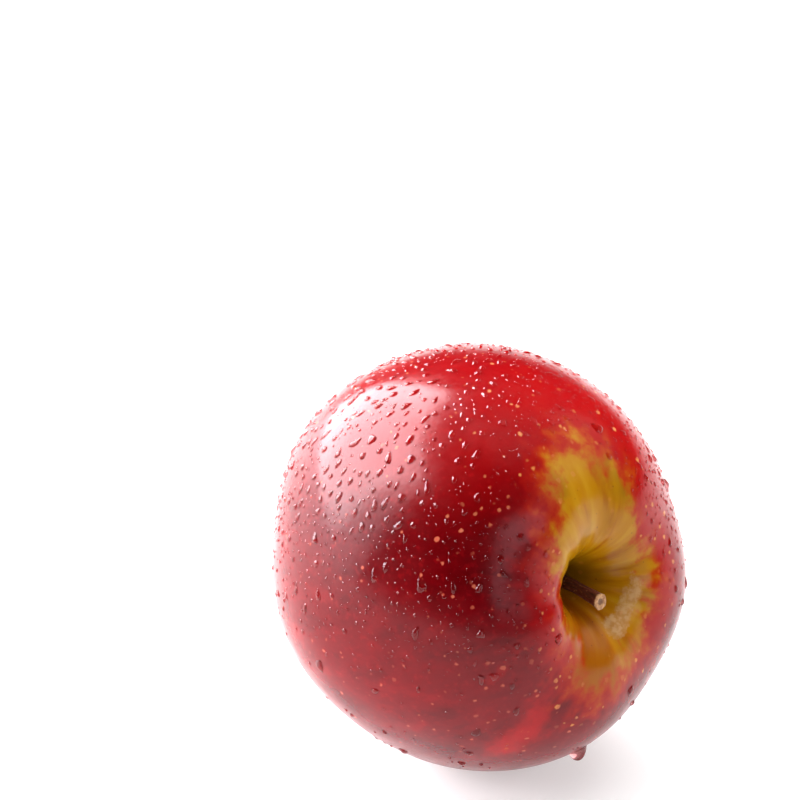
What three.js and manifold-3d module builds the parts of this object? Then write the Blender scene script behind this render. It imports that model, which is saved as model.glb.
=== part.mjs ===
// A fresh red apple, as picked, lying on its side on a small flat of its own skin.
//
// Every piece is shaped standing upright first, with the core line along +Z, the blossom end
// at z = 0 and the stem end on top. One turn then lays them all down together, and one shift
// brings the middle of the resting flat to the origin. Millimetres and degrees.

import * as THREE from 'three';
import { mergeVertices } from 'three/addons/utils/BufferGeometryUtils.js';
import Module from 'manifold-3d';

// Body of the fruit
const BELT_RADIUS = 37.9;
const HEIGHT = 64;
const BELT_HEIGHT = 30.2;
const SHOULDER_FULLNESS = 0.535;
const FOOT_FULLNESS = 0.515;
const OVAL = 0.039;
const OVAL_TURN = 12;
const LOBE = 0.019;
const LOBE_TURN = -7;
const SHOULDER_WAVE = 0.5;
const SHOULDER_WAVE_START = 0.6;
const LOBE_FADE = 0.65;

// Stem cavity, a funnel that ends in the socket of the stem
const CAVITY_RIM_RADIUS = 14.5;
const CAVITY_DEPTH = 13.5;
const CAVITY_RIM_ROUNDNESS = 0.58;
const CAVITY_TAPER = 0.2;
const CAVITY_WAIST = 0.4;
const CAVITY_ROUND_SHARE = 0.35;
const SOCKET_DEPTH = 2.4;

// Blossom end: a basin, a small flat shelf in it, and the calyx tube in the shelf
const BASIN_RIM_RADIUS = 11.5;
const BASIN_DEPTH = 6.5;
const BASIN_RIM_ROUNDNESS = 0.5;
const SHELF_RADIUS = 5.2;
const TUBE_RADIUS = 2.9;
const TUBE_DEPTH = 4;

// Stem
const STEM_LENGTH = 13.6;
const STEM_RADIUS = 1.15;
const STEM_FLARE = 0.35;
const STEM_BEND = 3;
const STEM_BEND_TURN = 10;
const STEM_TIP_RADIUS = 0.58;
const STEM_TIP_RISE = 0.23;
const STEM_TIP_DIMPLE = 0.09;

// Dried blossom
const SEPALS = 5;
const SEPAL_LENGTH = 6.2;
const SEPAL_WIDTH = 3;
const SEPAL_THICKNESS = 0.5;
const SEPAL_LEAN = -8;
const SEPAL_CURL = 62;
const SEPAL_TIP_WIDTH = 0.06;
const SEPAL_THINNING = 0.5;
const SEPAL_CUPPING = 0.18;
const STAMENS = 20;
const STAMEN_THICKNESS = 0.7;
const STAMEN_RISE = 2.2;
const STAMEN_NOTCH = 0.3;
const STYLE_RADIUS = 0.85;
const STYLE_RISE = 1.6;
const STYLE_WAIST = 0.7;
const STYLE_WAIST_HEIGHT = 0.6;
const STYLE_HEAD = 1.2;
const STYLE_HEAD_HEIGHT = 0.95;
const STYLE_TOP = 0.8;
const STYLE_DIMPLE_HEIGHT = 0.92;

// Fit between pieces, and how the fruit lies
const CLEARANCE = 0.3;
const STEM_HEADING = -44;
const STEM_RISE = 12.8;
const FLAT_DEPTH = 0.5;

// How finely the round pieces are divided
const SKIN_SECTORS = 60;
const SMALL_SECTORS = 20;
const STEM_RINGS = 14;

const radians = THREE.MathUtils.degToRad;
const wasm = await Module();
wasm.setup();

function material(color, roughness) {
  return new THREE.MeshStandardMaterial({ color, roughness, metalness: 0 });
}

// Keeps positions only and joins equal ones, so that the surface is one closed mesh.
function closed(geometry) {
  geometry.deleteAttribute('normal');
  geometry.deleteAttribute('uv');
  return mergeVertices(geometry, 1e-4);
}

// Moves every vertex to the place that the given function returns for it.
function reshape(geometry, place) {
  const positions = geometry.getAttribute('position');
  const point = new THREE.Vector3();
  for (let i = 0; i < positions.count; i += 1) {
    point.fromBufferAttribute(positions, i);
    place(point);
    positions.setXYZ(i, point.x, point.y, point.z);
  }
  return geometry;
}

// Turns a profile of (radius, height) points about the Z axis.
function turned(profile, sectors) {
  const lathe = closed(new THREE.LatheGeometry(profile, sectors));
  return lathe.rotateX(Math.PI / 2);
}

function solid(geometry) {
  return new wasm.Manifold(new wasm.Mesh({
    numProp: 3,
    vertProperties: Float32Array.from(geometry.getAttribute('position').array),
    triVerts: Uint32Array.from(geometry.getIndex().array),
  }));
}

function cut(geometry, tool) {
  const mesh = solid(geometry).subtract(solid(tool)).getMesh();
  const result = new THREE.BufferGeometry();
  result.setAttribute('position', new THREE.BufferAttribute(mesh.vertProperties, 3));
  result.setIndex(new THREE.BufferAttribute(mesh.triVerts, 1));
  return result;
}

// Half outline of the fruit, from the blossom end to the stem end.
function skinProfile() {
  const shelf = BASIN_DEPTH;
  const tubeFloor = BASIN_DEPTH + TUBE_DEPTH;
  const throat = HEIGHT - CAVITY_DEPTH;
  const socketRadius = STEM_RADIUS + STEM_FLARE + CLEARANCE;
  const basinSlope = BASIN_RIM_RADIUS - SHELF_RADIUS;
  const footSpan = BELT_RADIUS - BASIN_RIM_RADIUS;
  const shoulderSpan = BELT_RADIUS - CAVITY_RIM_RADIUS;
  const rise = HEIGHT - BELT_HEIGHT;
  const cavitySpan = CAVITY_RIM_RADIUS - socketRadius;

  const basin = new THREE.CubicBezierCurve(
    new THREE.Vector2(SHELF_RADIUS, shelf),
    new THREE.Vector2(SHELF_RADIUS + basinSlope / 3, shelf / 2),
    new THREE.Vector2(BASIN_RIM_RADIUS - basinSlope * BASIN_RIM_ROUNDNESS, 0),
    new THREE.Vector2(BASIN_RIM_RADIUS, 0),
  );
  const foot = new THREE.CubicBezierCurve(
    new THREE.Vector2(BASIN_RIM_RADIUS, 0),
    new THREE.Vector2(BASIN_RIM_RADIUS + footSpan * FOOT_FULLNESS, 0),
    new THREE.Vector2(BELT_RADIUS, BELT_HEIGHT * (1 - FOOT_FULLNESS)),
    new THREE.Vector2(BELT_RADIUS, BELT_HEIGHT),
  );
  const shoulder = new THREE.CubicBezierCurve(
    new THREE.Vector2(BELT_RADIUS, BELT_HEIGHT),
    new THREE.Vector2(BELT_RADIUS, BELT_HEIGHT + rise * SHOULDER_FULLNESS),
    new THREE.Vector2(CAVITY_RIM_RADIUS + shoulderSpan * SHOULDER_FULLNESS, HEIGHT),
    new THREE.Vector2(CAVITY_RIM_RADIUS, HEIGHT),
  );
  const cavity = new THREE.CubicBezierCurve(
    new THREE.Vector2(CAVITY_RIM_RADIUS, HEIGHT),
    new THREE.Vector2(CAVITY_RIM_RADIUS - cavitySpan * CAVITY_RIM_ROUNDNESS, HEIGHT),
    new THREE.Vector2(socketRadius + cavitySpan * CAVITY_TAPER, throat + CAVITY_DEPTH * CAVITY_WAIST),
    new THREE.Vector2(socketRadius, throat),
  );
  return [
    new THREE.Vector2(0, tubeFloor),
    new THREE.Vector2(TUBE_RADIUS, tubeFloor),
    new THREE.Vector2(TUBE_RADIUS, shelf),
    ...basin.getPoints(6),
    ...foot.getPoints(13).slice(1),
    ...shoulder.getPoints(13).slice(1),
    ...cavity.getPoints(9).slice(1),
    new THREE.Vector2(socketRadius, throat - SOCKET_DEPTH),
    new THREE.Vector2(0, throat - SOCKET_DEPTH),
  ];
}

// An apple is slightly oval and has five soft lobes. They stand out more toward the blossom
// end, and between them the shoulder dips. The throat of the cavity and the shelf stay round
// and level, so the stem and the sepals fit there.
function growUneven(point) {
  const radius = Math.hypot(point.x, point.y);
  const turn = Math.atan2(point.y, point.x);
  const up = THREE.MathUtils.clamp(point.z / HEIGHT, 0, 1);
  const level = up > 0.5 ? CAVITY_RIM_RADIUS * CAVITY_ROUND_SHARE : SHELF_RADIUS;
  const rim = up > 0.5 ? CAVITY_RIM_RADIUS : BASIN_RIM_RADIUS;
  const free = THREE.MathUtils.smoothstep(radius, level, rim);
  const oval = OVAL * Math.cos(2 * (turn - radians(OVAL_TURN)));
  const ripple = Math.cos(5 * (turn - radians(LOBE_TURN)));
  const spread = 1 + free * (oval + LOBE * (1 - LOBE_FADE * up) * ripple);
  point.x *= spread;
  point.y *= spread;
  point.z += free * SHOULDER_WAVE * ripple * THREE.MathUtils.smoothstep(up, SHOULDER_WAVE_START, 1);
}

// A short woody stalk, thicker at both ends, bent a little to one side.
function stemGeometry() {
  const foot = HEIGHT - CAVITY_DEPTH - SOCKET_DEPTH + CLEARANCE;
  const profile = [new THREE.Vector2(0, 0)];
  for (let i = 0; i <= STEM_RINGS; i += 1) {
    const along = i / STEM_RINGS;
    const flare = STEM_FLARE * (2 * along - 1) ** 4;
    profile.push(new THREE.Vector2(STEM_RADIUS + flare, STEM_LENGTH * along));
  }
  profile.push(new THREE.Vector2(STEM_TIP_RADIUS, STEM_LENGTH + STEM_TIP_RISE));
  profile.push(new THREE.Vector2(0, STEM_LENGTH + STEM_TIP_RISE - STEM_TIP_DIMPLE));
  const stem = turned(profile, SMALL_SECTORS);
  reshape(stem, (point) => {
    point.x += STEM_BEND * (point.z / STEM_LENGTH) ** 2;
  });
  return stem.rotateZ(radians(STEM_BEND_TURN)).translate(0, 0, foot);
}

// A dried sepal: a thin pointed blade, cupped across and curled outward along its length.
// It grows along +Z from a foot at the origin, and its outer face looks toward +X.
function sepalGeometry() {
  const blade = closed(new THREE.BoxGeometry(1, 1, 1, 1, 4, 8));
  const lean = radians(SEPAL_LEAN);
  const curl = radians(SEPAL_CURL);
  const bendRadius = SEPAL_LENGTH / curl;
  return reshape(blade, (point) => {
    const along = point.z + 0.5;
    const taper = SEPAL_TIP_WIDTH + (1 - SEPAL_TIP_WIDTH) * Math.cos(along * Math.PI / 2);
    const across = point.y * SEPAL_WIDTH * taper;
    const cupped = across * across * SEPAL_CUPPING;
    const out = point.x * SEPAL_THICKNESS * (1 - SEPAL_THINNING * along) - cupped;
    const angle = lean + curl * along;
    point.x = bendRadius * (Math.cos(lean) - Math.cos(angle)) + out * Math.cos(angle);
    point.y = across;
    point.z = bendRadius * (Math.sin(angle) - Math.sin(lean)) - out * Math.sin(angle);
  });
}

// The withered stamens: a thin crown whose tips stand as twenty teeth.
function stamenGeometry() {
  const outer = TUBE_RADIUS - CLEARANCE;
  const inner = outer - STAMEN_THICKNESS;
  const height = TUBE_DEPTH + STAMEN_RISE;
  const crown = turned([
    new THREE.Vector2(inner, 0),
    new THREE.Vector2(outer, 0),
    new THREE.Vector2(outer, TUBE_DEPTH),
    new THREE.Vector2(outer, height),
    new THREE.Vector2(inner, height),
    new THREE.Vector2(inner, TUBE_DEPTH),
    new THREE.Vector2(inner, 0),
  ], 2 * STAMENS);
  return reshape(crown, (point) => {
    if (point.z > TUBE_DEPTH + 0.1) {
      const tooth = Math.cos(STAMENS * Math.atan2(point.y, point.x));
      point.z -= STAMEN_RISE * STAMEN_NOTCH * (1 - tooth);
    }
  });
}

// The styles, joined in one small column that spreads at its top.
function styleGeometry() {
  const height = TUBE_DEPTH + STYLE_RISE;
  const profile = [
    new THREE.Vector2(0, 0),
    new THREE.Vector2(STYLE_RADIUS, 0),
    new THREE.Vector2(STYLE_RADIUS * STYLE_WAIST, height * STYLE_WAIST_HEIGHT),
    new THREE.Vector2(STYLE_RADIUS * STYLE_HEAD, height * STYLE_HEAD_HEIGHT),
    new THREE.Vector2(STYLE_RADIUS * STYLE_TOP, height),
    new THREE.Vector2(0, height * STYLE_DIMPLE_HEIGHT),
  ];
  return turned(profile, SMALL_SECTORS);
}

// The blossom pieces grow downward from the shelf and from the floor of the calyx tube.
function hangFrom(geometry, height) {
  geometry.rotateX(Math.PI);
  geometry.computeBoundingBox();
  return geometry.translate(0, 0, height - CLEARANCE - geometry.boundingBox.max.z);
}

const layDown = new THREE.Matrix4()
  .makeRotationZ(radians(STEM_HEADING))
  .multiply(new THREE.Matrix4().makeRotationY(radians(90 - STEM_RISE)));

// The fruit is laid down, dropped until its lowest point is FLAT_DEPTH under the ground, and
// pared off there.
const whole = reshape(turned(skinProfile(), SKIN_SECTORS), growUneven).applyMatrix4(layDown);
whole.computeBoundingBox();
const lift = -whole.boundingBox.min.z - FLAT_DEPTH;
whole.translate(0, 0, lift);
const groundSize = 4 * BELT_RADIUS;
const ground = closed(new THREE.BoxGeometry(groundSize, groundSize, groundSize));
ground.translate(0, 0, -groundSize / 2);
const pared = cut(whole, ground);

// Middle of the flat: the middle of the box around the corners that lie on the ground.
const flat = new THREE.Box3();
reshape(pared, (point) => {
  if (Math.abs(point.z) < 1e-3) {
    point.z = 0;
    flat.expandByPoint(point);
  }
});
const middle = flat.getCenter(new THREE.Vector3());

const fruit = new THREE.Mesh(pared, material(0x9c1120, 0.3));
fruit.name = 'fruit';
fruit.position.set(-middle.x, -middle.y, 0);

const grown = new THREE.Group();
grown.applyMatrix4(layDown);
grown.position.set(-middle.x, -middle.y, lift);

function add(name, geometry, color, roughness) {
  const mesh = new THREE.Mesh(geometry, material(color, roughness));
  mesh.name = name;
  grown.add(mesh);
}

add('stem', stemGeometry(), 0x3a1c12, 0.7);
for (let i = 0; i < SEPALS; i += 1) {
  const sepal = sepalGeometry();
  sepal.translate((TUBE_RADIUS + SHELF_RADIUS) / 2, 0, 0);
  sepal.rotateZ(radians(360 * i / SEPALS));
  add(`sepal_${i + 1}`, hangFrom(sepal, BASIN_DEPTH), 0x4a3a26, 0.85);
}
add('stamen_ring', hangFrom(stamenGeometry(), BASIN_DEPTH + TUBE_DEPTH), 0x3b2a1c, 0.9);
add('style_column', hangFrom(styleGeometry(), BASIN_DEPTH + TUBE_DEPTH), 0x33241a, 0.9);

const apple = new THREE.Group();
apple.add(fruit, grown);

export default apple;
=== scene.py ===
import math

import bpy
import numpy as np
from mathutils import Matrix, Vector


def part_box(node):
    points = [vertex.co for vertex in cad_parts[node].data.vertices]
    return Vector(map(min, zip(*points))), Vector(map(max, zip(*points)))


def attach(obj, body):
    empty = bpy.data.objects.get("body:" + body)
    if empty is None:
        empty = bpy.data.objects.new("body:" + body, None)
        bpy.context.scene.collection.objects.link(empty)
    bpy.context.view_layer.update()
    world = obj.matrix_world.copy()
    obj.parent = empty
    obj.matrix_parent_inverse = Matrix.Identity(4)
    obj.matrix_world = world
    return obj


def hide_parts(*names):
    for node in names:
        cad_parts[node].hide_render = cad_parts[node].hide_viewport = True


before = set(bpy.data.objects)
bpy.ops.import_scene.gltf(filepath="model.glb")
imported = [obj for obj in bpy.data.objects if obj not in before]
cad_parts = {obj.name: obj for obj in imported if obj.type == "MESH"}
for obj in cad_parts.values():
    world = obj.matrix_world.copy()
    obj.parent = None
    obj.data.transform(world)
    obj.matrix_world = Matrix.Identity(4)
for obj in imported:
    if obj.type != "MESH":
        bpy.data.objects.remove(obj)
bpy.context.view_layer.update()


# ---------------------------------------------------------------------------
# Camera. A long lens looks down on the fruit from the front, a little off its
# middle, so that the fruit stands low and right of the middle of the picture.
# ---------------------------------------------------------------------------
CAMERA_ELEVATION = math.radians(32)
CAMERA_DISTANCE = 1.0
LENS = 250
AIM_LEFT = 0.0146
AIM_UP = 0.0288

fruit_low, fruit_high = (np.array(corner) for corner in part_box("fruit"))
fruit_middle = (fruit_low + fruit_high) / 2

toward = np.array([0, -math.cos(CAMERA_ELEVATION), math.sin(CAMERA_ELEVATION)])
picture_up = np.array([0, math.sin(CAMERA_ELEVATION), math.cos(CAMERA_ELEVATION)])
picture_right = np.array([1.0, 0, 0])


def look(obj, eye, target):
    """Places an object at eye and turns its -Z toward target, with +Y as far up as it goes."""
    obj.location = eye
    obj.rotation_euler = (Vector(target) - Vector(eye)).to_track_quat("-Z", "Y").to_euler()


camera = bpy.data.objects.new("camera", bpy.data.cameras.new("camera"))
camera.data.lens = LENS
camera.data.clip_start = 0.05
camera.data.dof.use_dof = False
bpy.context.scene.collection.objects.link(camera)
eye_point = fruit_middle + toward * CAMERA_DISTANCE
look(camera, eye_point, fruit_middle - picture_right * AIM_LEFT + picture_up * AIM_UP)
bpy.context.scene.camera = camera


# ---------------------------------------------------------------------------
# The fruit: one grown body with a waxy skin, a funnel for the stem on one end
# and a basin for the dried blossom on the other. It is drawn standing upright,
# blossom end down, then laid on its side as the CAD fruit lies.
# ---------------------------------------------------------------------------
BELT_RADIUS = 0.0379
HEIGHT = 0.064
BELT_HEIGHT = 0.0302
SHOULDER_FULLNESS = 0.535
FOOT_FULLNESS = 0.515
OVAL = 0.039
OVAL_TURN = math.radians(12)
LOBE = 0.019
LOBE_TURN = math.radians(-7)
LOBE_FADE = 0.65
SHOULDER_WAVE = 0.0005
SHOULDER_WAVE_START = 0.6
CAVITY_RIM_RADIUS = 0.0145
CAVITY_DEPTH = 0.0135
CAVITY_RIM_ROUNDNESS = 0.58
CAVITY_TAPER = 0.2
CAVITY_WAIST = 0.4
CAVITY_ROUND_SHARE = 0.35
FOLD_HEIGHT = 0.00014
FINE_FOLD_HEIGHT = 0.00009
FOLDS_RISE = (0.0025, 0.006)
FOLDS_FADE = (0.009, 0.0165)
THROAT_RADIUS = 0.0016
SOCKET_DEPTH = 0.0024
BASIN_RIM_RADIUS = 0.0115
BASIN_RIM_ROUNDNESS = 0.5
BASIN_DEPTH = 0.0065
SHELF_RADIUS = 0.0052
TUBE_RADIUS = 0.0029
TUBE_DEPTH = 0.004
STEM_HEADING = math.radians(-44)
STEM_RISE = math.radians(12.8)
SKIN_SECTORS = 320


def bezier(corners, count):
    """Points on a cubic Bezier curve: the four corners weighted by (1-t)^3, 3t(1-t)^2,
    3t^2(1-t) and t^3, with t from 0 to just under 1."""
    t = np.linspace(0, 1, count, endpoint=False)[:, None]
    a, b, c, d = (np.array(corner, float) for corner in corners)
    return (1 - t) ** 3 * a + 3 * t * (1 - t) ** 2 * b + 3 * t ** 2 * (1 - t) * c + t ** 3 * d


def straight(start, end, count):
    """Points on the line from start to just before end."""
    t = np.linspace(0, 1, count, endpoint=False)[:, None]
    return (1 - t) * np.array(start, float) + t * np.array(end, float)


def smooth_step(value, low, high):
    """0 below low, 1 above high, and 3t^2 - 2t^3 between."""
    t = np.clip((value - low) / (high - low), 0, 1)
    return t * t * (3 - 2 * t)


def bump(angle, centre, width):
    """A bell around an angle in degrees: e to minus the square of the turn over the width."""
    turn = (np.degrees(angle) - centre + 180) % 360 - 180
    return np.exp(-(turn / width) ** 2)


def skin_profile():
    """Half outline of the fruit as (radius, height) rows, from the floor of the calyx tube
    out over the shelf, basin, foot, belt and shoulder, and down the cavity to the socket. Each
    stretch is a line or a cubic Bezier curve, and its last number is its count of points."""
    throat = HEIGHT - CAVITY_DEPTH
    basin = BASIN_RIM_RADIUS - SHELF_RADIUS
    foot = BELT_RADIUS - BASIN_RIM_RADIUS
    shoulder = BELT_RADIUS - CAVITY_RIM_RADIUS
    rise = HEIGHT - BELT_HEIGHT
    cavity = CAVITY_RIM_RADIUS - THROAT_RADIUS
    tube_floor = BASIN_DEPTH + TUBE_DEPTH
    return np.vstack([
        straight((0.0006, tube_floor), (TUBE_RADIUS, tube_floor), 4),
        straight((TUBE_RADIUS, tube_floor), (TUBE_RADIUS, BASIN_DEPTH), 6),
        straight((TUBE_RADIUS, BASIN_DEPTH), (SHELF_RADIUS, BASIN_DEPTH), 6),
        bezier([(SHELF_RADIUS, BASIN_DEPTH), (SHELF_RADIUS + basin / 3, BASIN_DEPTH / 2),
                (BASIN_RIM_RADIUS - basin * BASIN_RIM_ROUNDNESS, 0), (BASIN_RIM_RADIUS, 0)], 26),
        bezier([(BASIN_RIM_RADIUS, 0), (BASIN_RIM_RADIUS + foot * FOOT_FULLNESS, 0),
                (BELT_RADIUS, BELT_HEIGHT * (1 - FOOT_FULLNESS)), (BELT_RADIUS, BELT_HEIGHT)], 80),
        bezier([(BELT_RADIUS, BELT_HEIGHT), (BELT_RADIUS, BELT_HEIGHT + rise * SHOULDER_FULLNESS),
                (CAVITY_RIM_RADIUS + shoulder * SHOULDER_FULLNESS, HEIGHT),
                (CAVITY_RIM_RADIUS, HEIGHT)], 84),
        bezier([(CAVITY_RIM_RADIUS, HEIGHT),
                (CAVITY_RIM_RADIUS - cavity * CAVITY_RIM_ROUNDNESS, HEIGHT),
                (THROAT_RADIUS + cavity * CAVITY_TAPER, throat + CAVITY_DEPTH * CAVITY_WAIST),
                (THROAT_RADIUS, throat)], 70),
        straight((THROAT_RADIUS, throat), (THROAT_RADIUS, throat - SOCKET_DEPTH), 6),
        straight((THROAT_RADIUS, throat - SOCKET_DEPTH), (0.0003, throat - SOCKET_DEPTH), 4),
    ])


def skin_grid(profile, sectors):
    """Turns the profile about Z and makes it uneven: the radius grows by an oval term
    cos 2a and a five-lobed term cos 5a, the shoulder rises and dips with cos 5a, and the
    cavity wall carries shallow folds cos 9a and cos 16a that fade out at the rim."""
    angle = np.linspace(0, 2 * np.pi, sectors, endpoint=False)[None, :]
    radius = profile[:, :1] + 0 * angle
    height = profile[:, 1:] + 0 * angle
    up = np.clip(height / HEIGHT, 0, 1)
    top = up > 0.5
    level = np.where(top, CAVITY_RIM_RADIUS * CAVITY_ROUND_SHARE, SHELF_RADIUS)
    rim = np.where(top, CAVITY_RIM_RADIUS, BASIN_RIM_RADIUS)
    free = smooth_step(radius, level, rim)
    ripple = np.cos(5 * (angle - LOBE_TURN))
    oval = OVAL * np.cos(2 * (angle - OVAL_TURN))
    spread = 1 + free * (oval + LOBE * (1 - LOBE_FADE * up) * ripple)
    height = height + free * SHOULDER_WAVE * ripple * smooth_step(up, SHOULDER_WAVE_START, 1)
    wall = smooth_step(radius, *FOLDS_RISE) * (1 - smooth_step(radius, *FOLDS_FADE)) * top
    folds = FOLD_HEIGHT * np.cos(9 * angle + 1.3) + FINE_FOLD_HEIGHT * np.cos(16 * angle + 0.4)
    height = height + wall * folds
    return np.stack([radius * spread * np.cos(angle), radius * spread * np.sin(angle), height], -1)


def turn_z(angle):
    """Matrix that turns by an angle about Z."""
    c, s = math.cos(angle), math.sin(angle)
    return np.array([[c, -s, 0], [s, c, 0], [0, 0, 1]])


def turn_y(angle):
    """Matrix that turns by an angle about Y."""
    c, s = math.cos(angle), math.sin(angle)
    return np.array([[c, 0, s], [0, 1, 0], [-s, 0, c]])


lay_down = turn_z(STEM_HEADING) @ turn_y(math.pi / 2 - STEM_RISE)
profile = skin_profile()
upright = skin_grid(profile, SKIN_SECTORS)
laid = upright @ lay_down.T
laid_low = laid.min((0, 1))
laid_high = laid.max((0, 1))
place = fruit_middle - (laid_low + laid_high) / 2
place[2] = fruit_high[2] - laid_high[2]
skin = laid + place
skin[..., 2] = np.maximum(skin[..., 2], 0)


def lay(points):
    """Carries points from the upright fruit to where the fruit lies."""
    return points @ lay_down.T + place


def mesh_object(name, points, faces, material):
    """Makes a smooth mesh object with outward faces that rides on the fruit's body."""
    mesh = bpy.data.meshes.new(name)
    mesh.from_pydata(points.tolist(), [], faces)
    mesh.polygons.foreach_set("use_smooth", [True] * len(mesh.polygons))
    mesh.update()
    obj = bpy.data.objects.new(name, mesh)
    bpy.context.scene.collection.objects.link(obj)
    mesh.materials.append(material)
    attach(obj, "root")
    return obj


def grid_faces(rows, columns):
    """Quads between neighbouring rings of a grid that closes on itself across, and a fan
    from a pole point at each end. The poles are the last two points, first end first."""
    row = np.arange(rows - 1)[:, None] * columns
    column = np.arange(columns)[None, :]
    after = (column + 1) % columns
    beyond = row + columns
    quads = np.stack([row + column, row + after, beyond + after, beyond + column], -1)
    first = rows * columns
    end = (rows - 1) * columns
    ring = np.arange(columns)
    ahead = (ring + 1) % columns
    start_fan = np.stack([first + 0 * ring, ahead, ring], -1)
    end_fan = np.stack([first + 1 + 0 * ring, end + ring, end + ahead], -1)
    return quads.reshape(-1, 4), np.vstack([start_fan, end_fan])


def closed_surfaces(name, grids, material):
    """One object of one or more closed surfaces, each from a (rows, columns, 3) grid of rings
    with a pole in the middle of each end ring. All the grids are alike in size."""
    count, rows, columns = grids.shape[:3]
    start_pole, end_pole = grids[:, :1].mean(2), grids[:, -1:].mean(2)
    points = np.concatenate([grids.reshape(count, -1, 3), start_pole, end_pole], 1)
    quads, fans = grid_faces(rows, columns)
    shift = np.arange(count)[:, None, None] * points.shape[1]
    quads = (quads[None] + shift).reshape(-1, 4)
    fans = (fans[None] + shift).reshape(-1, 3)
    faces = quads.tolist() + fans.tolist()
    return mesh_object(name, points.reshape(-1, 3), faces, material)


def unroll(obj, grid):
    """Gives a closed surface a UV map: once around across, and by length from end to end."""
    rows, columns = grid.shape[:2]
    step = np.linalg.norm(np.diff(grid, axis=0), axis=-1).mean(1)
    along = np.concatenate([[0], np.cumsum(step)])
    along = along / along[-1]
    sizes = np.empty(len(obj.data.polygons), np.int32)
    obj.data.polygons.foreach_get("loop_total", sizes)
    corner = np.empty(len(obj.data.loops), np.int32)
    obj.data.loops.foreach_get("vertex_index", corner)
    column = np.where(corner < rows * columns, corner % columns, -1)
    row = np.minimum(corner // columns, rows - 1)
    length = np.where(corner == rows * columns, 0, np.where(corner > rows * columns, 1, along[row]))
    face_of = np.repeat(np.arange(len(sizes)), sizes)
    largest = np.zeros(len(sizes), int)
    np.maximum.at(largest, face_of, column)
    smallest = np.full(len(sizes), columns)
    np.minimum.at(smallest, face_of, np.where(column < 0, columns, column))
    seam = (largest == columns - 1) & (smallest == 0)
    wrapped = np.where(seam[face_of] & (column == 0), columns, column)
    middle = np.where(seam, columns - 0.5, smallest + 0.5)[face_of]
    across = np.where(column < 0, middle, wrapped) / columns
    layer = obj.data.uv_layers.new(name="OFBake")
    layer.data.foreach_set("uv", np.stack([across, length], -1).astype(np.float32).ravel())


def point_values(obj, name, values):
    """Stores one number or one vector at every point of a closed surface. The poles get the
    mean of their ring."""
    rows_first = values.reshape(values.shape[0], values.shape[1], -1)
    poles = np.stack([rows_first[0].mean(0), rows_first[-1].mean(0)])
    flat = np.vstack([rows_first.reshape(-1, rows_first.shape[-1]), poles]).astype(np.float32)
    if flat.shape[1] == 1:
        obj.data.attributes.new(name, "FLOAT", "POINT").data.foreach_set("value", flat.ravel())
    else:
        layer = obj.data.attributes.new(name, "FLOAT_VECTOR", "POINT")
        layer.data.foreach_set("vector", flat.ravel())


def tone(red, green, blue):
    """Linear RGBA from screen values of 0 to 255."""
    screen = np.array([red, green, blue]) / 255
    linear = np.where(screen > 0.04045, ((screen + 0.055) / 1.055) ** 2.4, screen / 12.92)
    return (*linear.tolist(), 1.0)


def new_material(name):
    """A node material, with its node tree and its surface shader."""
    material = bpy.data.materials.new(name)
    material.use_nodes = True
    return material, material.node_tree, material.node_tree.nodes["Principled BSDF"]


def node(tree, kind, sockets, **settings):
    """Adds a node. A socket's value may be a number, a colour or another node's output."""
    made = tree.nodes.new(kind)
    for key, value in settings.items():
        setattr(made, key, value)
    for key, value in sockets.items():
        if isinstance(value, bpy.types.NodeSocket):
            tree.links.new(value, made.inputs[key])
        else:
            made.inputs[key].default_value = value
    return made


def mix(tree, factor, first, second):
    """Fades from the first colour to the second."""
    made = node(tree, "ShaderNodeMix", {0: factor, 6: first, 7: second}, data_type="RGBA")
    return made.outputs[2]


def sums(tree, operation, first, second, third=0.0):
    """One sum on numbers. The third number is only used by MULTIPLY_ADD."""
    sockets = {0: first, 1: second, 2: third}
    return node(tree, "ShaderNodeMath", sockets, operation=operation).outputs[0]


def shifted(tree, noise, reach, value):
    """Adds a noise to a value, reach times its way above or below one half."""
    return sums(tree, "MULTIPLY_ADD", sums(tree, "SUBTRACT", noise, 0.5), reach, value)


def between(tree, value, low, high, start=0.0, end=1.0):
    """Maps low..high to start..end with a smooth step, and holds the ends."""
    sockets = {"Value": value, "From Min": low, "From Max": high, "To Min": start, "To Max": end}
    return node(tree, "ShaderNodeMapRange", sockets, interpolation_type="SMOOTHSTEP").outputs[0]


def grain(tree, vector, scale, detail=2.0, roughness=0.5):
    """Noise of about 0 to 1 around one half."""
    sockets = {"Vector": vector, "Scale": scale, "Detail": detail, "Roughness": roughness}
    return node(tree, "ShaderNodeTexNoise", sockets).outputs["Fac"]


def ramp(tree, value, stops):
    """Colour by a value, through (position, colour) stops."""
    made = node(tree, "ShaderNodeValToRGB", {"Fac": value})
    made.color_ramp.interpolation = "EASE"
    elements = made.color_ramp.elements
    elements[0].position, elements[0].color = stops[0]
    elements[1].position, elements[1].color = stops[-1]
    for position, colour in stops[1:-1]:
        elements.new(position).color = colour
    return made.outputs["Color"]


def attribute(tree, name, output="Fac"):
    """What point_values stored under a name."""
    return node(tree, "ShaderNodeAttribute", {}, attribute_name=name).outputs[output]


def dots(tree, vector, scale, radius, soft):
    """Round spots where the surface passes near the scattered points of a Voronoi pattern."""
    cells = node(tree, "ShaderNodeTexVoronoi", {"Vector": vector, "Scale": scale})
    return between(tree, cells.outputs["Distance"], radius, radius * (1 - soft), 0.0, 1.0)


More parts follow.
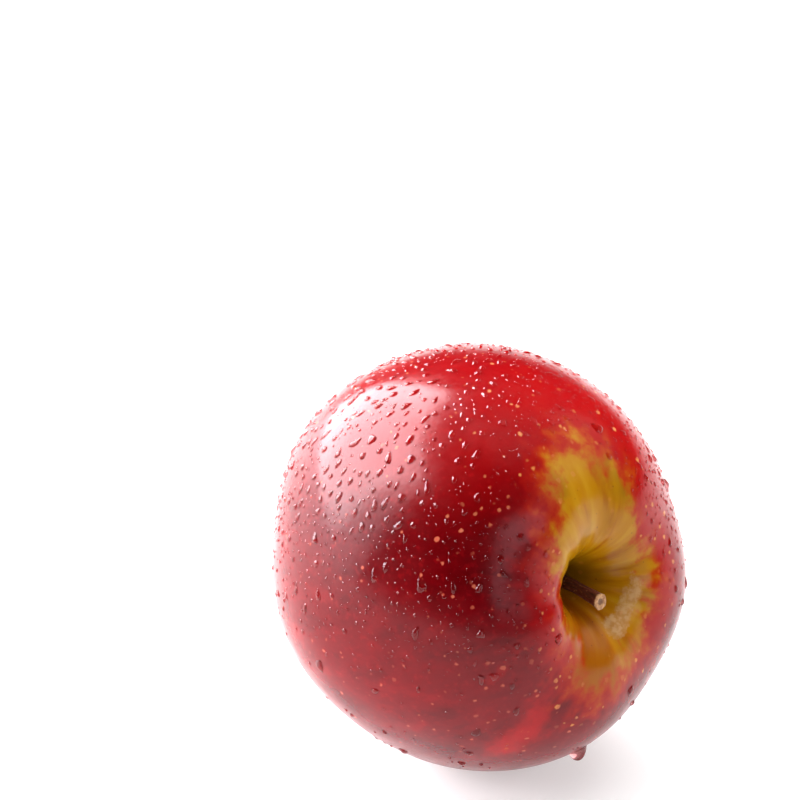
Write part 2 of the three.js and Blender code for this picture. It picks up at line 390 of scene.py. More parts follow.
def skin_material():
    """Red over-colour in soft streaks along the meridians, darker in a band of painted shade and
    lighter on the top with painted light, over a golden ground that shows round the stem cavity and
    in the basin, darkened with painted shade deep in the throat, with pale lenticels, a fleck and
    corky russet."""
    material, tree, shader = new_material("apple_skin")
    place_in = node(tree, "ShaderNodeTexCoord", {}).outputs["Object"]
    meridian = attribute(tree, "meridian", "Vector")
    ground_run = attribute(tree, "ground_run")
    russet_run = attribute(tree, "russet_run")
    warm_run = attribute(tree, "warm_run")

    # Over-colour: crimson, deeper and lighter in soft streaks and clouds
    streak = grain(tree, meridian, 8.0, 3.0, 0.55)
    broad = grain(tree, meridian, 4.0, 2.0, 0.5)
    cloud = grain(tree, place_in, 45.0, 2.0, 0.5)
    mottle = grain(tree, place_in, 900.0, 3.0, 0.6)
    red = ramp(tree, streak, [(0.3, tone(98, 0, 6)), (0.5, tone(116, 0, 8)),
                              (0.72, tone(136, 3, 11))])
    red = mix(tree, between(tree, cloud, 0.4, 0.7, 0.0, 0.5), red, tone(124, 0, 10))
    # Painted shade: a darker crimson band where the light only grazes the skin
    red = mix(tree, attribute(tree, "painted_shade"), red, tone(76, 0, 4))
    red = mix(tree, between(tree, mottle, 0.5, 0.8, 0.0, 0.5), red, tone(148, 10, 16))
    # Brighter red for the sunny blush, and painted light on the top of the fruit
    bright = mix(tree, streak, tone(162, 0, 5), tone(178, 12, 9))
    red = mix(tree, attribute(tree, "rosy_and_top_light"), red, bright)

    # A pale red fleck, with a golden heart
    fleck = shifted(tree, mottle, 3.0, warm_run)
    fleck = shifted(tree, streak, 3.0, fleck)
    fleck = shifted(tree, grain(tree, place_in, 160.0, 3.0, 0.6), 9.0, fleck)
    red = mix(tree, between(tree, fleck, -3.2, 2.6, 0.0, 0.75), red, tone(180, 8, 13))
    red = mix(tree, between(tree, fleck, 2.1, 3.8, 0.0, 0.7), red, tone(206, 96, 34))

    # Ground: gold and olive, with lighter rays from the throat, darkened with painted shade deep in
    # the throat and calyx tube, duller in the basin and nearer orange on the low side of the cavity
    rays = grain(tree, meridian, 5.0, 3.0, 0.5)
    throat_shade = attribute(tree, "throat")
    rays = sums(tree, "MULTIPLY_ADD", sums(tree, "SUBTRACT", 0.55, rays), throat_shade, rays)
    gold = ramp(tree, rays, [(0.32, tone(164, 98, 0)), (0.5, tone(180, 120, 1)),
                             (0.68, tone(188, 136, 16))])
    olive = between(tree, grain(tree, place_in, 70.0, 3.0, 0.6), 0.45, 0.66, 0.0, 0.6)
    gold = mix(tree, olive, gold, tone(140, 102, 0))
    # Painted shade: darker gold deep in the throat and calyx tube
    gold = mix(tree, sums(tree, "MULTIPLY", throat_shade, 0.7), gold, tone(126, 90, 4))
    dull = mix(tree, rays, tone(96, 66, 4), tone(128, 100, 14))
    gold = mix(tree, attribute(tree, "basin"), gold, dull)
    orange = mix(tree, rays, tone(150, 56, 0), tone(178, 98, 4))
    gold = mix(tree, attribute(tree, "ember"), gold, orange)

    # Border: the streaks run into the ground, through orange
    blot = grain(tree, place_in, 300.0, 3.0, 0.6)
    fray = shifted(tree, broad, 12.0, ground_run)
    fray = shifted(tree, streak, 3.5, fray)
    fray = shifted(tree, blot, 14.0, fray)
    colour = mix(tree, between(tree, fray, -7.5, -0.5, 0.0, 0.9), red, tone(166, 20, 4))
    colour = mix(tree, between(tree, fray, -3.6, 1.8, 0.0, 0.85), colour, tone(178, 62, 3))
    colour = mix(tree, between(tree, fray, -0.5, 5.0), colour, gold)

    # Russet: a corky pale patch with a ragged edge
    flakes = grain(tree, place_in, 620.0, 5.0, 0.7)
    ragged = shifted(tree, flakes, 3.0, russet_run)
    russet = between(tree, ragged, -0.5, 0.5)
    cork = mix(tree, between(tree, mottle, 0.35, 0.65), tone(178, 124, 62), tone(202, 160, 106))
    colour = mix(tree, sums(tree, "MULTIPLY", russet, 0.85), colour, cork)

    # Lenticels: larger, paler and closer toward the stem end
    size = attribute(tree, "lenticel_size")
    cells = node(tree, "ShaderNodeTexVoronoi", {"Vector": place_in, "Scale": 420.0})
    dice = node(tree, "ShaderNodeSeparateColor", {"Color": cells.outputs["Color"]})
    reach = sums(tree, "MULTIPLY_ADD", dice.outputs["Red"], 0.11, size)
    spot = sums(tree, "SUBTRACT", reach, cells.outputs["Distance"])
    spot = shifted(tree, mottle, 0.45, spot)
    lenticel = sums(tree, "MULTIPLY", between(tree, spot, -0.01, 0.1),
                    between(tree, dice.outputs["Green"], 0.1, 0.9, 0.25, 0.95))
    lenticel = sums(tree, "MULTIPLY", lenticel, between(tree, fray, 0.0, 3.0, 1.0, 0.25))
    warm_dot = between(tree, fray, -9.0, -3.0)
    pale = mix(tree, attribute(tree, "rosy_and_top_light"), tone(190, 84, 62), tone(226, 146, 88))
    colour = mix(tree, lenticel, colour, mix(tree, warm_dot, pale, tone(214, 134, 66)))

    # Small dark specks in the ground
    specks = dots(tree, place_in, 480.0, 0.085, 0.6)
    specks = sums(tree, "MULTIPLY", specks, between(tree, fray, 2.0, 6.0, 0.0, 0.7))
    colour = mix(tree, specks, colour, tone(84, 48, 10))

    tree.links.new(colour, shader.inputs["Base Color"])
    rough = between(tree, grain(tree, place_in, 240.0, 4.0, 0.6), 0.3, 0.7, 0.18, 0.26)
    rough = sums(tree, "MULTIPLY_ADD", russet, 0.25, rough)
    tree.links.new(rough, shader.inputs["Roughness"])
    shader.inputs["IOR"].default_value = 1.45
    shader.inputs["Specular IOR Level"].default_value = 0.25
    peel = grain(tree, place_in, 1500.0, 3.0, 0.55)
    wavy = grain(tree, place_in, 260.0, 2.0, 0.5)
    relief = sums(tree, "MULTIPLY_ADD", wavy, 2.2, peel)
    relief = sums(tree, "MULTIPLY_ADD", lenticel, 0.5, relief)
    relief = sums(tree, "MULTIPLY_ADD", russet, 1.2, relief)
    surface = node(tree, "ShaderNodeBump",
                   {"Height": relief, "Strength": 0.22, "Distance": 0.00009})
    tree.links.new(surface.outputs["Normal"], shader.inputs["Normal"])
    return material


apple_skin = skin_material()
fruit = closed_surfaces("fruit_skin", skin[None], apple_skin)
unroll(fruit, skin)
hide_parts("fruit")

# Values that follow the skin. "run" is the way along the skin from the stem in millimetres,
# "foot_run" the way from the calyx tube, and stem_reach and foot_reach are where the golden
# ground ends. Every bump is given its turn and its width in degrees.
turn = np.linspace(0, 2 * np.pi, SKIN_SECTORS, endpoint=False)[None, :]
travelled = np.concatenate([[0], np.cumsum(np.linalg.norm(np.diff(profile, axis=0), axis=1))])
run = 1000 * (travelled[-1] - travelled)[:, None] + 0 * turn
stem_reach = 22.5 + 13.5 * bump(turn, 178, 34) - 4.8 * bump(turn, 265, 32)
stem_reach = stem_reach + 4.5 * bump(turn, 345, 30) + 1.5 * bump(turn, 25, 18)
foot_reach = 1000 * travelled[-1] - 18 - 2.5 * np.cos(2 * turn + 0.8)
point_values(fruit, "ground_run", np.maximum(stem_reach - run, run - foot_reach))
meridian_way = np.stack([np.cos(turn) + 0 * run, np.sin(turn) + 0 * run, run / 60], -1)
point_values(fruit, "meridian", meridian_way)
foot_run = 1000 * travelled[-1] - run
point_values(fruit, "ember", 0.75 * bump(turn, -28, 46) * smooth_step(foot_run, 40, 60))
point_values(fruit, "basin", 0.85 * (1 - smooth_step(foot_run, 40, 60)))
# Painted shade mask: 1 deep in the stem cavity and in the calyx tube, where the gold is darkened
point_values(fruit, "throat", 1 - smooth_step(run, 7, 15) * smooth_step(foot_run, 9, 20))
sunny_turn = bump(turn, 132, 54) * smooth_step(-run, -66, -38)
rosy_and_top_light = 0.9 * sunny_turn + 0.8 * smooth_step(-run, -31, -22)
# Painted light: the top of the fruit as it lies is made a brighter red
rosy_and_top_light = rosy_and_top_light + 0.4 * smooth_step(skin[..., 2], 0.058, 0.075)
point_values(fruit, "rosy_and_top_light", np.clip(rosy_and_top_light, 0, 1))
# Painted shade: a band round one side of the fruit, away from both ends, where the light only
# grazes the skin
painted_shade = bump(turn, 218, 46) * smooth_step(run, 26, 38) * smooth_step(-run, -96, -66)
point_values(fruit, "painted_shade", 0.9 * painted_shade)


def patch_run(turn_centre, run_centre, half_across, half_along, slant=0.0):
    """Way inside the edge of an oval patch, in millimetres: positive inside. The patch has its
    middle at a turn in degrees and a run, and a slant moves it sideways as it goes away from
    the stem: (1 - the distance in half widths) times the lesser half width."""
    away = (np.degrees(turn) - turn_centre + 180) % 360 - 180
    across = np.radians(away) * np.clip(run - 7, 3, 40) - slant * (run - run_centre)
    shape = np.hypot(across / half_across, (run - run_centre) / half_along)
    return (1 - shape) * min(half_across, half_along)


cork_run = np.maximum(patch_run(60, 18.0, 4.0, 1.3), patch_run(24, 17.6, 3.4, 2.3))
cork_run = np.maximum(cork_run, patch_run(42, 16.6, 3.6, 0.9))
point_values(fruit, "russet_run", cork_run - 0.2)
small_fleck = patch_run(-74, 35, 0.9, 4.0, 0.6) - 1.9
point_values(fruit, "warm_run", np.maximum(patch_run(-38, 40.5, 3.2, 7.5, 0.3), small_fleck))
point_values(fruit, "lenticel_size", 0.075 + 0.065 * smooth_step(-run, -62, -25))


# ---------------------------------------------------------------------------
# The stem: a short woody stalk, thicker at both ends, with a dry cut tip. Its
# foot sits in the socket at the bottom of the cavity.
# ---------------------------------------------------------------------------
STEM_LENGTH = 0.0136
STEM_RADIUS = 0.00115
STEM_FLARE = 0.00035
STEM_BEND = 0.003
STEM_BEND_TURN = math.radians(10)
GAP = 0.0003
STEM_FOOT = HEIGHT - CAVITY_DEPTH - SOCKET_DEPTH + GAP
STEM_FOOT_TAPER = 0.4
STEM_RIDGE = 0.035
STEM_FINE_RIDGE = 0.025
STEM_KNOT = 0.04
STEM_RINGS = 80
STEM_SECTORS = 48
FIBRE_STRETCH = 1.5


def stem_grid(rings, sectors):
    """A tube whose radius is least in the middle and flares with the fourth power toward
    both ends, ridged around by cos 5a and cos 9a, bent sideways by the square of the way, and
    closed by a rounded rim and a shallow crater at the tip."""
    along = np.linspace(0, 1, rings)[:, None]
    angle = np.linspace(0, 2 * np.pi, sectors, endpoint=False)[None, :]
    radius = STEM_RADIUS + STEM_FLARE * (2 * along - 1) ** 4
    ridges = STEM_RIDGE * np.cos(5 * angle + 3 * along)
    ridges = ridges + STEM_FINE_RIDGE * np.cos(9 * angle - 5 * along)
    knots = STEM_KNOT * np.sin(17 * along + np.cos(angle)) * np.sin(np.pi * along)
    radius = radius * (1 + ridges + knots)
    height = STEM_LENGTH * along + 0 * angle
    cap = np.array([[0.93, 0.012], [0.8, 0.018], [0.62, 0.014], [0.42, 0.004], [0.2, -0.004]])
    tip_radius = radius[-1:] * cap[:, :1]
    tip_height = STEM_LENGTH * (1 + cap[:, 1:]) + 0 * angle
    radius = np.vstack([radius[:1] * STEM_FOOT_TAPER, radius, tip_radius])
    height = np.vstack([height[:1], height, tip_height])
    bend = STEM_BEND * (height / STEM_LENGTH) ** 2
    x, y = radius * np.cos(angle) + bend, radius * np.sin(angle)
    return np.stack([x, y, height + STEM_FOOT], -1) @ turn_z(STEM_BEND_TURN).T, len(cap)


def bark_material():
    """Dark red-brown bark, fibrous along the stem, and a pale dry tip with a dark pith."""
    material, tree, shader = new_material("stem_bark")
    place_in = node(tree, "ShaderNodeTexCoord", {}).outputs["Object"]
    along = attribute(tree, "stem_along", "Vector")
    fibre = grain(tree, along, 7.0, 5.0, 0.6)
    bark = ramp(tree, fibre, [(0.32, tone(44, 14, 14)), (0.52, tone(88, 32, 28)),
                              (0.74, tone(128, 78, 48))])
    flecks = dots(tree, place_in, 1500.0, 0.26, 0.5)
    bark = mix(tree, sums(tree, "MULTIPLY", flecks, 0.5), bark, tone(176, 132, 92))
    tip = attribute(tree, "tip_run")
    wood = between(tree, grain(tree, place_in, 2500.0, 3.0), 0.35, 0.65)
    pale = mix(tree, wood, tone(206, 156, 104), tone(160, 104, 62))
    colour = mix(tree, between(tree, tip, 0.05, 0.3), bark, pale)
    colour = mix(tree, between(tree, tip, 0.78, 0.92, 0.0, 0.7), colour, tone(84, 50, 34))
    tree.links.new(colour, shader.inputs["Base Color"])
    tree.links.new(between(tree, fibre, 0.3, 0.7, 0.35, 0.6), shader.inputs["Roughness"])
    relief = sums(tree, "MULTIPLY_ADD", fibre, 1.5, grain(tree, place_in, 3000.0, 3.0))
    surface = node(tree, "ShaderNodeBump", {"Height": relief, "Strength": 0.6, "Distance": 0.00012})
    tree.links.new(surface.outputs["Normal"], shader.inputs["Normal"])
    return material


stem_points, cap_rings = stem_grid(STEM_RINGS, STEM_SECTORS)
stem = closed_surfaces("stem_wood", lay(stem_points)[None], bark_material())
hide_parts("stem")
rows = stem_points.shape[0]
stem_turn = np.linspace(0, 2 * np.pi, STEM_SECTORS, endpoint=False)[None, :]
stem_way = np.linspace(0, 1, rows)[:, None]
fibre_way = np.stack([np.cos(stem_turn) + 0 * stem_way, np.sin(stem_turn) + 0 * stem_way,
                      stem_way * FIBRE_STRETCH + 0 * stem_turn], -1)
point_values(stem, "stem_along", fibre_way)
tip_run = np.clip(np.arange(rows) - (rows - cap_rings - 2), 0, None) / (cap_rings + 1)
point_values(stem, "tip_run", tip_run[:, None] + 0 * stem_turn)


# ---------------------------------------------------------------------------
# The sepals: five dried pointed leaves of the old flower. They stand on the shelf round
# the calyx tube and curl outward, brown and brittle, each dried a little differently.
# ---------------------------------------------------------------------------
SEPALS = 5
SEPAL_LENGTH = 0.0062
SEPAL_WIDTH = 0.003
SEPAL_THICKNESS = 0.0005
SEPAL_LEAN = math.radians(-8)
SEPAL_CURL = math.radians(62)
SEPAL_RUFFLE = 0.00018
SEPAL_CUPPING = 180
SEPAL_RIB = 0.00006
SEPAL_RINGS = 44
SEPAL_SECTORS = 24
chance = np.random.default_rng(11)


def sepal_grid(rings, sectors, twist, curl, ruffle):
    """A flattened tube: each ring is a thin oval, wide by the cosine of a quarter turn along
    the blade and cupped by the square of the way across. The blade bends on a circle, twists
    evenly and ruffles at its margins by a sine along its length."""
    along = np.linspace(0.02, 0.98, rings)[:, None]
    angle = np.linspace(0, 2 * np.pi, sectors, endpoint=False)[None, :]
    taper = 0.08 + 0.92 * np.cos(along * np.pi / 2)
    side = np.cos(angle)
    across = 0.5 * SEPAL_WIDTH * taper * side
    thick = 0.5 * SEPAL_THICKNESS * (1 - 0.5 * along) * np.sin(angle) * (1 - 0.45 * side ** 2)
    wave = ruffle * side ** 2 * np.sin(9 * along + 2.2 * side) * along
    ribs = SEPAL_RIB * np.cos(5 * np.pi * side) * (1 - along)
    out = wave - thick - SEPAL_CUPPING * across ** 2 + ribs
    bend_radius = SEPAL_LENGTH / SEPAL_CURL
    way = SEPAL_LEAN + curl * along
    across = across * np.cos(twist * along) + out * np.sin(twist * along)
    out = out * np.cos(twist * along)
    x = bend_radius * (math.cos(SEPAL_LEAN) - np.cos(way)) + out * np.cos(way)
    z = bend_radius * (np.sin(way) - math.sin(SEPAL_LEAN)) - out * np.sin(way)
    return np.stack([x, across, z], -1)


def hang(grid, level):
    """Turns a shape over so that it hangs down from a level, a small gap under it."""
    turned = grid * np.array([1, -1, -1])
    return turned + np.array([0, 0, level - GAP - turned[..., 2].max()])


def dry_material(name, dark, mid, light, scale):
    """Brittle brown plant matter: fibres along the piece and darker blotches."""
    material, tree, shader = new_material(name)
    place_in = node(tree, "ShaderNodeTexCoord", {}).outputs["Object"]
    fibre = grain(tree, place_in, scale, 5.0, 0.65)
    blotch = grain(tree, place_in, scale * 0.25, 2.0, 0.5)
    colour = ramp(tree, fibre, [(0.32, dark), (0.5, mid), (0.7, light)])
    colour = mix(tree, between(tree, blotch, 0.45, 0.65, 0.0, 0.6), colour, dark)
    tree.links.new(colour, shader.inputs["Base Color"])
    tree.links.new(between(tree, fibre, 0.3, 0.7, 0.75, 0.92), shader.inputs["Roughness"])
    surface = node(tree, "ShaderNodeBump", {"Height": fibre, "Strength": 0.7, "Distance": 0.00015})
    tree.links.new(surface.outputs["Normal"], shader.inputs["Normal"])
    return material


sepal_tones = tone(46, 32, 20), tone(96, 70, 44), tone(150, 122, 84)
sepal_dry = dry_material("dried_sepal", *sepal_tones, 1400.0)
for number in range(SEPALS):
    twist = chance.uniform(-0.35, 0.35)
    curl = SEPAL_CURL * chance.uniform(0.85, 1.1)
    ruffle = SEPAL_RUFFLE * chance.uniform(0.8, 1.5)
    blade = sepal_grid(SEPAL_RINGS, SEPAL_SECTORS, twist, curl, ruffle)
    blade = blade + np.array([(TUBE_RADIUS + SHELF_RADIUS) / 2, 0, 0])
    blade = blade @ turn_z(2 * math.pi * number / SEPALS).T
    sepal = closed_surfaces(f"sepal_blade_{number + 1}", lay(hang(blade, BASIN_DEPTH))[None],
                            sepal_dry)
    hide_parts(f"sepal_{number + 1}")


# ---------------------------------------------------------------------------
# The stamens and styles: withered threads of the flower. Twenty stamens stand round the
# wall of the calyx tube, each with a shrunken head, and five styles rise joined from its
# floor and part near their tips.
# ---------------------------------------------------------------------------
STAMENS = 20
STAMEN_REACH = 0.0059
STAMEN_INSET = 0.0002
STYLES = 5
STYLE_REACH = 0.0054
STYLE_FOOT_SPREAD = 0.0003
STYLE_TIP_SPREAD = 0.00082
tube_floor = BASIN_DEPTH + TUBE_DEPTH


def thread_grids(start, end, sag, radii, sectors):
    """Many like tubes. Each runs from its start to its end point, pushed aside by a sine
    half wave times its sag, and its radius follows the given row of radii."""
    rings = len(radii)
    along = np.linspace(0, 1, rings)[None, :, None]
    centre = start[:, None] * (1 - along) + end[:, None] * along
    centre = centre + np.sin(np.pi * along) * sag[:, None]
    angle = np.linspace(0, 2 * np.pi, sectors, endpoint=False)
    ring = np.stack([np.cos(angle), np.sin(angle), 0 * angle], -1)
    return centre[:, :, None] + ring[None, None] * np.array(radii)[None, :, None, None]


thread_tones = tone(34, 24, 16), tone(72, 50, 30), tone(126, 96, 60)
thread_dry = dry_material("dried_blossom", *thread_tones, 2200.0)
spin = 2 * np.pi * (np.arange(STAMENS) + chance.uniform(-0.25, 0.25, STAMENS)) / STAMENS
spoke = np.stack([np.cos(spin), np.sin(spin)], -1)
foot_radius = TUBE_RADIUS - GAP - STAMEN_INSET
rise = STAMEN_REACH * chance.uniform(0.84, 1.0, STAMENS)
start = np.concatenate([spoke * foot_radius, np.zeros((STAMENS, 1))], -1)
tip_in = chance.uniform(0.55, 0.85, STAMENS)[:, None]
end = np.concatenate([spoke * foot_radius * tip_in, rise[:, None]], -1)
sag = np.concatenate([spoke[:, ::-1] * chance.uniform(-0.0003, 0.0003, STAMENS)[:, None],
                      np.zeros((STAMENS, 1))], -1)
stamen_radii = [0.00016, 0.00014, 0.00013, 0.00012, 0.00012, 0.00011, 0.00011, 0.00012,
                0.00024, 0.00033, 0.00036, 0.00032, 0.0002]
stamens = thread_grids(start, end, sag, stamen_radii, 8)
stamen_threads = closed_surfaces("stamen_threads", lay(hang(stamens, tube_floor)), thread_dry)
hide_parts("stamen_ring")

spin = 2 * np.pi * (np.arange(STYLES) + 0.3) / STYLES
spoke = np.stack([np.cos(spin), np.sin(spin), 0 * spin], -1)
start = spoke * STYLE_FOOT_SPREAD
reach = np.array([0, 0, STYLE_REACH]) * chance.uniform(0.9, 1.0, STYLES)[:, None]
end = spoke * STYLE_TIP_SPREAD + reach
style_radii = [0.0005, 0.00045, 0.0004, 0.00034, 0.00028, 0.00022, 0.00019, 0.00018, 0.00022,
               0.0003, 0.00018]
styles = thread_grids(start, end, -spoke * 0.0003, style_radii, 10)
style_threads = closed_surfaces("style_threads", lay(hang(styles, tube_floor)), thread_dry)
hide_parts("style_column")


# ---------------------------------------------------------------------------
# The water: beads left by a rinse, held by the waxy skin. They lie thickest on the upper
# side, stretch the way they slid, and one heavy drop hangs from the underside.
# ---------------------------------------------------------------------------
WATER_SINK = 0.000012
SINK_SHARE = 0.03
DRIFT = 0.05
UNEVEN = 0.15
FULLER_HEAD = 0.18
SPACING = 1.5
DRY_BELOW = 0.004
HALF_FRUIT = 0.039
LARGE_DROPS, LARGE_TRIES = 46, 90
MIDDLE_DROPS, MIDDLE_TRIES = 620, 1300
FINE_DROPS, FINE_TRIES = 3500, 6000
LARGE_LEAST, LARGE_MOST = 0.0006, 0.001
MIDDLE_LEAST, MIDDLE_SPAN = 0.00028, 0.0004
FINE_LEAST, FINE_SPAN = 0.00013, 0.00024
HANGING_RADIUS = 0.0017
HANGING_LENGTH = 0.0034
HANGING_SINK = 0.001


def water_material():
    """Clear water with a painted red tint that darkens and reddens the drops, standing in for the
    red skin seen through them and mirrored inside.
    """
    material, _, shader = new_material("water")
    shader.inputs["Base Color"].default_value = (0.9, 0.42, 0.42, 1)
    shader.inputs["Roughness"].default_value = 0.03
    shader.inputs["IOR"].default_value = 1.333
    shader.inputs["Transmission Weight"].default_value = 1.0
    return material


def skin_spots(count, weight):
    """Random spots on the skin, picked by cell area times a weight, with the skin's outward
    normal there: the cross product of the cell's diagonals."""
    ahead = np.roll(skin, -1, 1)
    one = ahead[1:] - skin[:-1]
    two = skin[1:] - ahead[:-1]
    normal = np.cross(one, two)
    area = np.linalg.norm(normal, axis=-1)
    normal = normal / np.maximum(area, 1e-12)[..., None]
    share = (area * weight).ravel()
    cell = chance.choice(share.size, count, p=share / share.sum())
    u, v = chance.uniform(0, 1, (2, count, 1))
    low = skin[:-1].reshape(-1, 3)[cell] * (1 - u) + ahead[:-1].reshape(-1, 3)[cell] * u
    high = skin[1:].reshape(-1, 3)[cell] * (1 - u) + ahead[1:].reshape(-1, 3)[cell] * u
    return low * (1 - v) + high * v, normal.reshape(-1, 3)[cell]


def drop_grids(spot, normal, radius, stretch, turned, wet_angle, rings, sectors):
    """Many drops. Each is a cap of a sphere that meets the skin at the wet angle, stretched
    along the way the skin falls (straight down less its share along the normal), turned a
    little, uneven at its edge by cos 3a, fuller at its lower end, and sunk into the skin."""
    fall = normal * normal[:, 2:] - np.array([0, 0, 1.0])
    fall = fall + np.array([-DRIFT, 0, 0]) * (1 - np.linalg.norm(fall, axis=1, keepdims=True))
    fall = fall - normal * (fall * normal).sum(1, keepdims=True)
    fall = fall / np.linalg.norm(fall, axis=1, keepdims=True)
    side = np.cross(normal, fall)
    c, s = np.cos(turned)[:, None], np.sin(turned)[:, None]
    length_way, width_way = fall * c + side * s, side * c - fall * s
    rise = np.linspace(0, 1, rings, endpoint=False)[None, :, None]
    angle = np.linspace(0, 2 * np.pi, sectors, endpoint=False)[None, None, :]
    wet = wet_angle[:, None, None]
    reach = np.sin(wet * (1 - rise)) / np.sin(wet)
    lift = (np.cos(wet * (1 - rise)) - np.cos(wet)) / np.sin(wet)
    edge = 1 + UNEVEN * np.cos(3 * angle + 9 * turned[:, None, None]) * (1 - rise)
    head = 1 + FULLER_HEAD * np.cos(angle) * (stretch[:, None, None] > 1.3)
    size = radius[:, None, None]
    a = size * stretch[:, None, None] * reach * edge * np.cos(angle)
    b = size * reach * edge * head * np.sin(angle)
    h = size * (lift * head - SINK_SHARE) - WATER_SINK
    return (spot[:, None, None] + a[..., None] * length_way[:, None, None]
            + b[..., None] * width_way[:, None, None] + h[..., None] * normal[:, None, None])


def apart(spot, radius, spread):
    """Keeps a drop only where no earlier one stands nearer than both radii times the spread."""
    gap = np.linalg.norm(spot[:, None] - spot[None], axis=-1)
    near = gap < (radius[:, None] + radius[None]) * spread
    return ~np.any(np.tril(near, -1), axis=1)


# Where the drops lie, cell by cell: outside the golden ground and the basin, not down by the
# floor, thickest on top, and larger on the slope that faces up and left
cell_up = (skin[1:, :, 2] - fruit_middle[2]) / HALF_FRUIT
cell_run = run[1:]
outside = smooth_step(cell_run, 17, 24) * (1 - smooth_step(cell_run, 128, 134))
outside = outside * (skin[1:, :, 2] > DRY_BELOW) * smooth_step(cell_run - stem_reach, -2, 4)
upper = smooth_step(cell_up, -0.25, 0.45)
slope_left = np.array([-0.45, -0.08, 0.9])
outward = skin[1:] - fruit_middle
cell_left = (outward @ slope_left) / np.linalg.norm(outward, axis=-1)

large_weight = outside * (0.6 + 0.4 * smooth_step(cell_up, -0.9, 0.4))
middle_weight = outside * (0.07 + upper + 6 * smooth_step(cell_left, 0.72, 0.96))
fine_weight = outside * (0.04 + upper ** 1.3)
large_spot, large_normal = skin_spots(LARGE_TRIES, large_weight)
large_radius = np.sort(chance.uniform(LARGE_LEAST, LARGE_MOST, len(large_spot)))[::-1]
middle_spot, middle_normal = skin_spots(MIDDLE_TRIES, middle_weight)
middle_draw = chance.uniform(0, 1, len(middle_spot)) ** 1.3
middle_radius = np.sort(MIDDLE_LEAST + MIDDLE_SPAN * middle_draw)[::-1]
fine_spot, fine_normal = skin_spots(FINE_TRIES, fine_weight)
fine_draw = chance.uniform(0, 1, len(fine_spot)) ** 1.6
fine_radius = np.sort(FINE_LEAST + FINE_SPAN * fine_draw)[::-1]
every_spot = np.concatenate([large_spot, middle_spot, fine_spot])
every_normal = np.concatenate([large_normal, middle_normal, fine_normal])
every_radius = np.concatenate([large_radius, middle_radius, fine_radius])
kept = apart(every_spot, every_radius, SPACING)
kind = np.repeat([0, 1, 2], [len(large_spot), len(middle_spot), len(fine_spot)])
water = water_material()

# For each kind: how many at most, its rings and sectors, the wet angle's range in degrees and
# the longest stretch
for name, number, limit, rings, sectors, low_wet, high_wet, longest in (
        ("large_drops", 0, LARGE_DROPS, 7, 18, 42, 60, 1.6),
        ("middle_drops", 1, MIDDLE_DROPS, 4, 10, 50, 66, 2.3),
        ("fine_drops", 2, FINE_DROPS, 3, 7, 58, 74, 1.5)):
    chosen = np.flatnonzero(kept & (kind == number))[:limit]
    count = len(chosen)
    stretch = 1 + (longest - 1) * chance.uniform(0, 1, count) ** 1.5
    turned = chance.normal(0, 0.3, count)
    wet_angle = np.radians(chance.uniform(low_wet, high_wet, count))
    drops = drop_grids(every_spot[chosen], every_normal[chosen], every_radius[chosen],
                       stretch, turned, wet_angle, rings, sectors)
    closed_surfaces(name, drops, water)


def hanging_grid(top, radius, length, normal, rings, sectors):
    """A drop about to fall: a turned outline, wide at the skin, a little narrower in the neck
    and round below, whose upper end leans over to meet the skin's slope."""
    along = np.linspace(0, 1, rings, endpoint=False)[:, None]
    angle = np.linspace(0, 2 * np.pi, sectors, endpoint=False)[None, :]
    outline = np.sqrt(np.clip(1 - along ** 2.6, 0, 1)) * (1 + 0.25 * np.exp(-(along / 0.14) ** 2))
    x = radius * outline * np.cos(angle)
    y = -radius * outline * np.sin(angle)
    slope = -(normal[0] * x + normal[1] * y) / normal[2]
    z = slope * (1 - along) ** 2 - length * along
    return np.stack([x + 0 * z, y + 0 * z, z], -1) + top


# The hanging drop: on the lower right edge as the camera sees it
edge_way = 0.5 * picture_right - 0.866 * picture_up
skin_points = skin.reshape(-1, 3)
low_spot = skin_points[np.argmax(skin_points @ edge_way)]
low_normal = edge_way / np.linalg.norm(edge_way)
hanging = hanging_grid(low_spot - low_normal * HANGING_SINK, HANGING_RADIUS, HANGING_LENGTH,
                       low_normal, 26, 30)
closed_surfaces("hanging_drop", hanging[None], water)


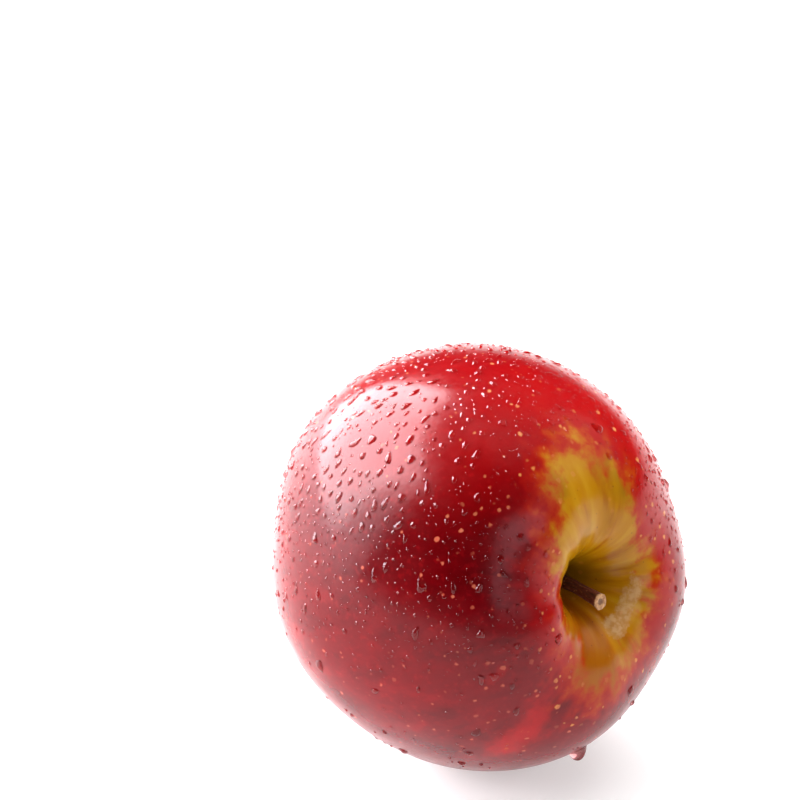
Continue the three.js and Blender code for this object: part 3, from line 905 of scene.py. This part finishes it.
# ---------------------------------------------------------------------------
# The floor and the light: a white table with a weak glow of its own, a large soft window on
# the left, a broad ceiling light above and behind, a weak wall light on the right, faint
# panels and a dim room. Some lights act on matte colour only, and some in the gloss only.
# ---------------------------------------------------------------------------
FLOOR_SIZE = 3.0
FLOOR_WHITE = 0.62
FLOOR_GLOW = 0.45
ROOM_GLOW = 0.035
floor_mesh = bpy.data.meshes.new("floor")
half = FLOOR_SIZE / 2
floor_corners = [(-half, -half, 0), (half, -half, 0), (half, half, 0), (-half, half, 0)]
floor_mesh.from_pydata(floor_corners, [], [(0, 1, 2, 3)])
floor = bpy.data.objects.new("floor", floor_mesh)
bpy.context.scene.collection.objects.link(floor)
floor_material, _, floor_shader = new_material("floor_white")
floor_shader.inputs["Base Color"].default_value = (FLOOR_WHITE, FLOOR_WHITE, FLOOR_WHITE, 1)
floor_shader.inputs["Roughness"].default_value = 0.8
floor_shader.inputs["Emission Color"].default_value = (1, 1, 1, 1)
floor_shader.inputs["Emission Strength"].default_value = FLOOR_GLOW
floor_mesh.materials.append(floor_material)


def soft_light(name, direction, distance, width, height, power, colour=(1, 1, 1), lights="all"):
    """A rectangular area light that faces the fruit from the given direction. It can light
    all there is, only the matte colours, or only show in the gloss."""
    light = bpy.data.lights.new(name, "AREA")
    light.shape = "RECTANGLE"
    light.size = width
    light.size_y = height
    light.energy = power
    light.color = colour
    obj = bpy.data.objects.new(name, light)
    bpy.context.scene.collection.objects.link(obj)
    away = np.array(direction) / np.linalg.norm(direction)
    look(obj, fruit_middle + away * distance, fruit_middle)
    obj.visible_glossy = lights != "matte"
    obj.visible_diffuse = lights != "gloss"
    obj.visible_transmission = lights != "gloss"


soft_light("window", (-0.9, 0.2, 0.36), 0.6, 0.9, 0.42, 15.5, (1.0, 0.97, 1.0), "matte")
soft_light("window_shine", (-0.73, 0.36, 0.59), 0.56, 0.8, 0.62, 27, (1.0, 0.92, 0.98), "gloss")
soft_light("window_glow", (-0.84, 0.28, 0.45), 0.6, 1.1, 0.95, 20, (1.0, 0.92, 0.98), "gloss")
soft_light("ceiling", (0.15, 0.48, 0.86), 1.4, 1.6, 1.6, 41, lights="matte")
soft_light("wall", (0.85, 0.1, 0.5), 1.3, 1.3, 0.6, 7, lights="matte")
soft_light("panel", (0.58, -0.72, 0.36), 1.3, 1.0, 0.55, 5, (1.0, 0.88, 0.96), "gloss")
soft_light("far_panel", (0.76, 0.35, 0.55), 1.3, 1.0, 0.42, 1.2, lights="gloss")
world = bpy.data.worlds.new("room")
world.use_nodes = True
background = world.node_tree.nodes["Background"]
background.inputs["Color"].default_value = (0.95, 0.97, 1.0, 1)
background.inputs["Strength"].default_value = ROOM_GLOW
bpy.context.scene.world = world
bpy.context.scene.view_settings.view_transform = "Standard"
